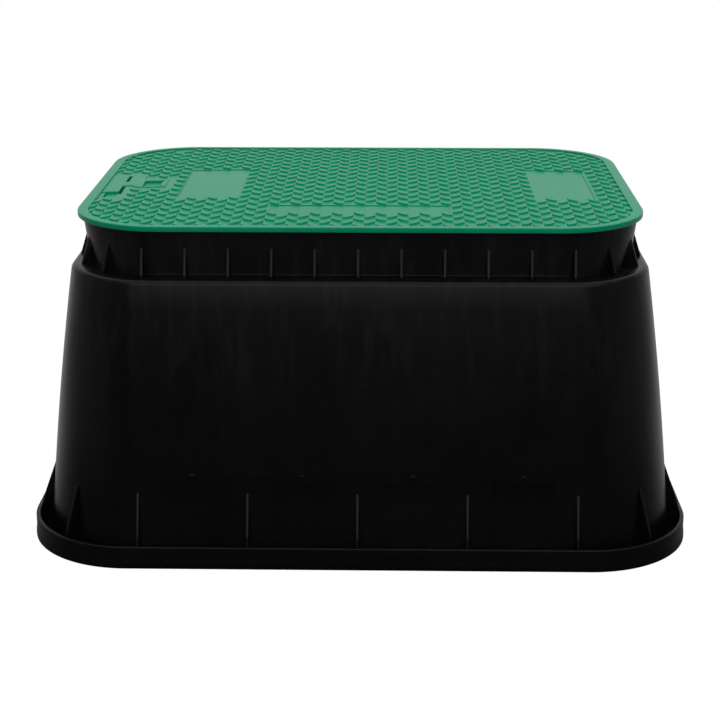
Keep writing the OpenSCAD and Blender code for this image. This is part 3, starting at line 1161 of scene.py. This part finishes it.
    def crowned(self, mesh: Mesh, cell: float = 0.0) -> Mesh:
        """Lifts what lies in the field onto the crown.

        The rim bounds the field's top. Lower down, to a little under the field's underside, the
        skirt's inside does.

        Args:
            mesh: A mesh whose field is flat.
            cell: Size of the grid that its faces are cut into first, or 0 for no cuts.

        Returns:
            The same mesh.
        """
        if cell:
            sides = ((Vector((1, 0, 0)), self.outline.half_x), (Vector((0, 1, 0)), self.outline.half_y))
            for normal, half in sides:
                for offset in straddled(cell, half):
                    parts = [*mesh.verts, *mesh.edges, *mesh.faces]
                    place = normal * offset * MM
                    bmesh.ops.bisect_plane(mesh, geom=parts, plane_co=place, plane_no=normal, dist=TINY)
        inner = self.skirt.grown(self.skirt_slack - self.skirt_t)
        underside = self.field_z - self.field_t - self.crown_reach
        for vert in mesh.verts:
            x, y, z = vert.co / MM
            edge = self.rim if z > self.seat_z + self.crown_split else inner
            if z > underside and edge.distance(x, y) < SLACK:
                vert.co.z += self.crown(x, y) * MM
        if cell:
            bmesh.ops.triangulate(mesh, faces=mesh.faces[:])
        return mesh

    def plate(self) -> Mesh:
        """The cover's plate with its rim and skirt, as one closed skin.

        Returns:
            A new mesh.
        """
        edge, small, soft = self.edge_r, self.small_r, self.soft_r
        skirt_in = self.skirt.grown(-self.skirt_t)
        stations = [
            *skirt_in.grown(-edge).at(self.field_z - self.field_t - edge).turn(edge, 90, 0),
            *skirt_in.grown(edge).at(self.foot_z + edge).turn(edge, 180, 270),
            *self.skirt.grown(-edge).at(self.foot_z + edge).turn(edge, -90, 0),
            *self.skirt.grown(small).at(self.seat_z - small).turn(small, 180, 90),
            *self.outline.grown(-small).at(self.seat_z + small).turn(small, -90, 0),
            *self.outline.grown(-edge).at(self.top - edge).turn(edge, 0, 90, 5),
            *self.rim.grown(small).at(self.top - small).turn(small, 90, 180),
            *self.rim.grown(-soft).at(self.field_z + soft).turn(soft, 0, -90),
        ]
        mesh = bmesh.new()
        Loft(mesh, stations).cap()
        return self.crowned(mesh, self.crown_cell)

    def sunk(self, places: Iterable[Rectangle], depth: float) -> Mesh:
        """The shapes that sink rectangles into the field.

        Args:
            places: The rectangles.
            depth: Their depth below the field.

        Returns:
            A new mesh.
        """
        low, high = self.field_z - depth, self.top + 2 * OVERCUT
        blocks = merged(block((x0, y0, low), (x1, y1, high)) for x0, y0, x1, y1 in places)
        return self.crowned(blocks, self.crown_cell)

    def pad(self) -> Mesh:
        """The raised pad of the catch, with its tongue round the pocket.

        Returns:
            A new mesh.
        """
        left, back = -self.rim.half_x, self.pad_back
        front, tongue_front = back - self.pad_len, back - self.tongue_len
        _, pocket_low, pocket_right, pocket_high = self.pocket()
        frame_x = pocket_right + self.hole_r + self.pocket_frame
        frame_y = pocket_high + self.hole_r + self.pocket_frame
        frame_front = pocket_low - self.pocket_frame
        bend = left + self.tongue_w - self.slot_w
        top = self.field_z + self.pad_h
        mesh = prism(
            [
                (left - OVERCUT, back),
                (left + self.tongue_w, back),
                (left + self.tongue_w, frame_y),
                (frame_x, frame_y),
                (frame_x, frame_front),
                (bend, frame_front),
                (bend - 2 * self.slot_w, tongue_front),
                (left + self.pad_w, tongue_front),
                (left + self.pad_w, front),
                (left - OVERCUT, front),
            ],
            self.field_z - OVERCUT,
            top,
        )
        top_edges = [e for e in mesh.edges if all(v.co.z > (top - SLACK) * MM for v in e.verts)]
        free = [e for e in top_edges if max(v.co.x for v in e.verts) > (left + SLACK) * MM]
        round_edges(mesh, free, self.soft_r)
        return self.crowned(mesh, self.crown_cell / 2)

    def through_cutter(self) -> Mesh:
        """The slots and the small holes of the catch.

        Returns:
            A new mesh.
        """
        low, high = self.foot_z - OVERCUT, self.top + 3 * OVERCUT
        x0 = -self.rim.half_x + self.pad_w - self.slot_w / 2
        x1 = x0 + self.slot_w
        back_end = self.pad_back - self.slot_inset
        front_end = back_end - self.slot_back_len - self.slot_bridge
        parts = [
            block((x0, back_end - self.slot_back_len, low), (x1, back_end, high)),
            block((x0, front_end - self.slot_front_len, low), (x1, front_end, high)),
        ]
        _, pocket_low, pocket_right, pocket_high = self.pocket()
        for y in (pocket_low, pocket_high):
            hole = bmesh.new()
            bmesh.ops.create_cone(
                hole,
                cap_ends=True,
                segments=20,
                radius1=self.hole_r * MM,
                radius2=self.hole_r * MM,
                depth=(high - low) * MM,
                matrix=Matrix.Translation(Vector((pocket_right, y, (low + high) / 2)) * MM),
            )
            parts.append(hole)
        return merged(parts)

    def bar(self) -> Mesh:
        """One raised bar, which falls to the right, with its low front corner at Y = 0.

        Its front bows forwards, its sides slope and its top is eased.

        Returns:
            A new mesh, open at its foot.
        """
        half = (self.col_pitch - self.col_gap) / 2
        shares = [2 * i / self.bar_steps - 1 for i in range(self.bar_steps + 1)]
        front = [(t * half, self.bar_rise * ((1 - t) / 2) ** 2) for t in shares]
        back = [(x, y + self.bar_len * (1 - self.bar_bow * (x / half) ** 2)) for x, y in reversed(front)]
        mesh = prism([*front, *back], self.field_z - self.bar_root, self.field_z)
        ease = self.bar_ease
        for inset, rise in ((self.bar_slope, self.tread_h - ease), (3 * ease, ease)):
            top = max(mesh.faces, key=lambda face: face.calc_center_median().z)
            bmesh.ops.inset_region(
                mesh, faces=[top], thickness=inset * MM, depth=rise * MM, use_even_offset=True
            )
        under = min(mesh.faces, key=lambda face: face.calc_center_median().z)
        bmesh.ops.delete(mesh, geom=[under], context="FACES_ONLY")
        return mesh

    def stands(self, x: float, y: float) -> bool:
        """Whether a bar at a place lies in the field and clear of the smooth places.

        Args:
            x: Middle of the bar along X.
            y: Front of the bar along Y.

        Returns:
            True where the bar stands.
        """
        half, depth = self.col_pitch / 2, self.bar_rise + self.bar_len
        corners = product((x - half, x + half), (y, y + depth))
        reach = [self.outline.distance(*corner) for corner in corners]
        if max(reach) > -self.bar_margin or min(reach) > -self.rim_end:
            return False
        return all(
            x + half < x0 or x - half > x1 or y + depth < y0 or y > y1
            for x0, y0, x1, y1 in self.smooth_places
        )

    def tread(self) -> Mesh:
        """The herringbone of raised bars, on the crown.

        Returns:
            A new mesh.
        """
        columns = int(self.outline.half_x // self.col_pitch)
        rows = math.ceil(self.outline.half_y / self.row_pitch)
        falling, rising = [], []
        for column, row in product(range(-columns, columns + 1), range(-rows, rows + 1)):
            x = column * self.col_pitch
            y = self.row_shift + (row + column % 2 / 2) * self.row_pitch
            if self.stands(x, y):
                (rising if column % 2 else falling).append(placed(x, y, 0))
        mirrored = self.bar()
        bmesh.ops.scale(mirrored, vec=(-1, 1, 1), verts=mirrored.verts[:])
        bmesh.ops.reverse_faces(mirrored, faces=mirrored.faces[:])
        bars = merged((repeated(self.bar(), falling), repeated(mirrored, rising)))
        return self.crowned(bars)

    def ribs(self) -> Mesh:
        """The ribs under the field, which end in the skirt.

        The two families differ a little in height, so that no faces of theirs coincide.

        Returns:
            A new mesh.
        """
        inner = self.skirt.grown(-self.skirt_t / 2)
        low = self.seat_z - self.rib_h
        high = self.field_z - self.field_t + self.rib_root
        half_t, down = self.rib_t / 2, self.rib_offset

        def reach(offset: float, half: float, other: float) -> float:
            """Half length of a rib, inside the skirt's rounded outline.

            Args:
                offset: Distance of the rib from the middle.
                half: Half size of the outline along that distance.
                other: Half size of the outline along the rib.

            Returns:
                The half length.
            """
            past = abs(offset) + half_t - (half - inner.radius)
            if past <= 0:
                return other
            return other - inner.radius + math.sqrt(max(inner.radius**2 - past**2, 0.0))

        parts = []
        for x in straddled(self.rib_pitch, self.skirt.half_x - self.skirt_t):
            y = reach(x, inner.half_x, inner.half_y)
            parts.append(block((x - half_t, -y, low), (x + half_t, y, high)))
        for y in straddled(self.rib_pitch, self.skirt.half_y - self.skirt_t):
            x = reach(y, inner.half_y, inner.half_x)
            parts.append(block((-x, y - half_t, low + down), (x, y + half_t, high - down)))
        for part in parts:
            edges = [e for e in part.edges if all(v.co.z < (low + SLACK) * MM for v in e.verts)]
            round_edges(part, edges, self.small_r)
        return self.crowned(merged(parts), self.crown_cell)

    def build(self) -> None:
        """Builds and dresses the cover."""
        plate = solid(self.plate(), "cover_plate")
        carve(plate, self.sunk(self.bare_places, self.bare_depth), Carving.CUT)
        carve(plate, self.pad(), Carving.JOIN)
        carve(plate, self.sunk((self.pocket(), self.notch()), self.pocket_depth), Carving.CUT)
        carve(plate, self.through_cutter(), Carving.CUT)
        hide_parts("lid")
        dress(plate, Body.COVER, GREEN)
        dress(solid(self.tread(), "tread_bars"), Body.COVER, GREEN)
        ribs = solid(self.ribs(), "cover_ribs")
        carve(ribs, self.through_cutter(), Carving.CUT)
        dress(ribs, Body.COVER, GREEN)


@dataclass(frozen=True)
class Softbox:
    """A flat lamp that faces a point. Lengths are in metres."""

    name: str
    place: Point
    target: Point
    width: float
    height: float
    power: float

    def hang(self) -> None:
        """Puts the lamp into the scene."""
        lamp = bpy.data.lights.new(self.name, "AREA")
        lamp.shape = "RECTANGLE"
        lamp.size = self.width
        lamp.size_y = self.height
        lamp.energy = self.power
        made = bpy.data.objects.new(self.name, lamp)
        made.location = self.place
        aim = Vector(self.target) - Vector(self.place)
        made.rotation_euler = aim.to_track_quat("-Z", "Y").to_euler()
        bpy.context.scene.collection.objects.link(made)


@dataclass(frozen=True)
class Studio:
    """The camera, lamps, floor and background.

    The focal length and the frame's width are in pixels of the photograph. What is mirrored is the
    strength that gloss sees, and an edge is where a level starts to rise and where it is full.
    """

    focal_px: float = 1662.9
    frame_px: float = 720.0
    sensor_mm: float = 36.0
    distance: float = 1.3536
    height: float = 0.5459
    side: float = -0.0017
    yaw: float = -1.194
    pitch: float = 18.058
    roll: float = -0.045
    clip_end: float = 50.0
    sweep_edge: Span = (0.3, 0.9)
    sweep_mirrored: float = 0.7
    side_edge: Span = (0.1, 0.7)
    side_mirrored: float = 0.35
    sweep_light: float = 0.24
    room_light: float = 0.06
    floor_r: float = 0.62
    floor_grey: Colour = (0.12, 0.12, 0.12)
    floor_seen: float = 0.93
    floor_mirrored: float = 0.6
    floor_edge: Span = (-0.2, 0.1)
    lamps: tuple[Softbox, ...] = (
        Softbox("overhead", (0.0, 0.25, 1.9), (0.0, 0.0, 0.2), 2.6, 2.0, 36.0),
        Softbox("front_high", (0.2, -1.9, 1.8), (0.0, 0.0, 0.15), 3.4, 1.8, 36.0),
        Softbox("front_low", (0.0, -2.6, 0.85), (0.0, 0.0, 0.2), 2.0, 0.7, 11.0),
    )

    def place_camera(self) -> None:
        """Sets the camera at the photograph's viewing angle."""
        lens = bpy.data.cameras.new("camera")
        lens.sensor_width = self.sensor_mm
        lens.lens = self.focal_px / self.frame_px * self.sensor_mm
        lens.clip_end = self.clip_end
        made = bpy.data.objects.new("camera", lens)
        made.matrix_world = (
            Matrix.Rotation(math.radians(-self.yaw), 4, "Z")
            @ Matrix.Translation((self.side, -self.distance, self.height))
            @ Matrix.Rotation(math.radians(90 - self.pitch), 4, "X")
            @ Matrix.Rotation(math.radians(self.roll), 4, "Z")
        )
        bpy.context.scene.collection.objects.link(made)
        bpy.context.scene.camera = made

    def light_world(self) -> None:
        """White to the camera all round. Gloss shows a white sweep behind, paler sides and a dim front."""
        world = bpy.data.worlds.new("studio")
        bpy.context.scene.world = world
        world.use_nodes = True
        graph = Graph(world.node_tree)
        ray = graph.node("ShaderNodeLightPath")
        direction = graph.node("ShaderNodeTexCoord")["Generated"]
        parts = graph.node("ShaderNodeSeparateXYZ", None, {0: direction})
        sweep = parts["Y"].between(*self.sweep_edge)
        sides = (parts["X"] * parts["X"]).between(*self.side_edge) * self.side_mirrored
        mirrored = (sweep * self.sweep_mirrored).at_least(sides)
        seen = (ray["Is Glossy Ray"] + ray["Is Transmission Ray"]) * mirrored
        shown = ray["Is Camera Ray"].at_least(seen)
        ambient = sweep * self.sweep_light + self.room_light
        strength = shown * (1.0 - ambient) + ambient
        light = graph.node("ShaderNodeBackground", None, {"Color": WHITE, "Strength": strength})
        graph.node("ShaderNodeOutputWorld", None, {"Surface": light})

    def lay_floor(self) -> None:
        """A pale round floor that fades into the white background."""
        mesh = bmesh.new()
        bmesh.ops.create_circle(mesh, cap_ends=True, radius=self.floor_r, segments=96)
        floor = solid(mesh, "floor")
        floor.data.materials.append(self.floor_material())

    def floor_material(self) -> bpy.types.Material:
        """White to the camera, apart from the object's soft shadow.

        Returns:
            The material.
        """
        made = bpy.data.materials.new("pale_floor")
        made.use_nodes = True
        graph = Graph(made.node_tree)
        ray = graph.node("ShaderNodeLightPath")
        place = graph.node("ShaderNodeTexCoord")["Object"]
        behind = graph.node("ShaderNodeSeparateXYZ", None, {0: place})["Y"].between(*self.floor_edge)
        mirrored = ray["Is Glossy Ray"] * behind * self.floor_mirrored
        shown = (ray["Is Camera Ray"] * self.floor_seen).at_least(mirrored)
        paper = graph.node("ShaderNodeBsdfDiffuse", None, {"Color": (*self.floor_grey, 1.0)})
        glow = graph.node("ShaderNodeEmission", None, {"Color": WHITE, "Strength": shown})
        lit = graph.node("ShaderNodeAddShader", None, {0: paper, 1: glow})
        graph.node("ShaderNodeOutputMaterial", None, {"Surface": lit})
        return made

    def build(self) -> None:
        """Sets the whole studio up."""
        bpy.context.scene.view_settings.view_transform = "Standard"
        self.place_camera()
        self.light_world()
        self.lay_floor()
        for lamp in self.lamps:
            lamp.hang()


def main() -> None:
    """Builds the studio and both mouldings."""
    logging.basicConfig(level=logging.INFO, format="%(name)s %(message)s")
    Studio().build()
    box = BoxMoulding()
    box.build()
    Cover(box).build()


if __name__ == "__main__":
    main()
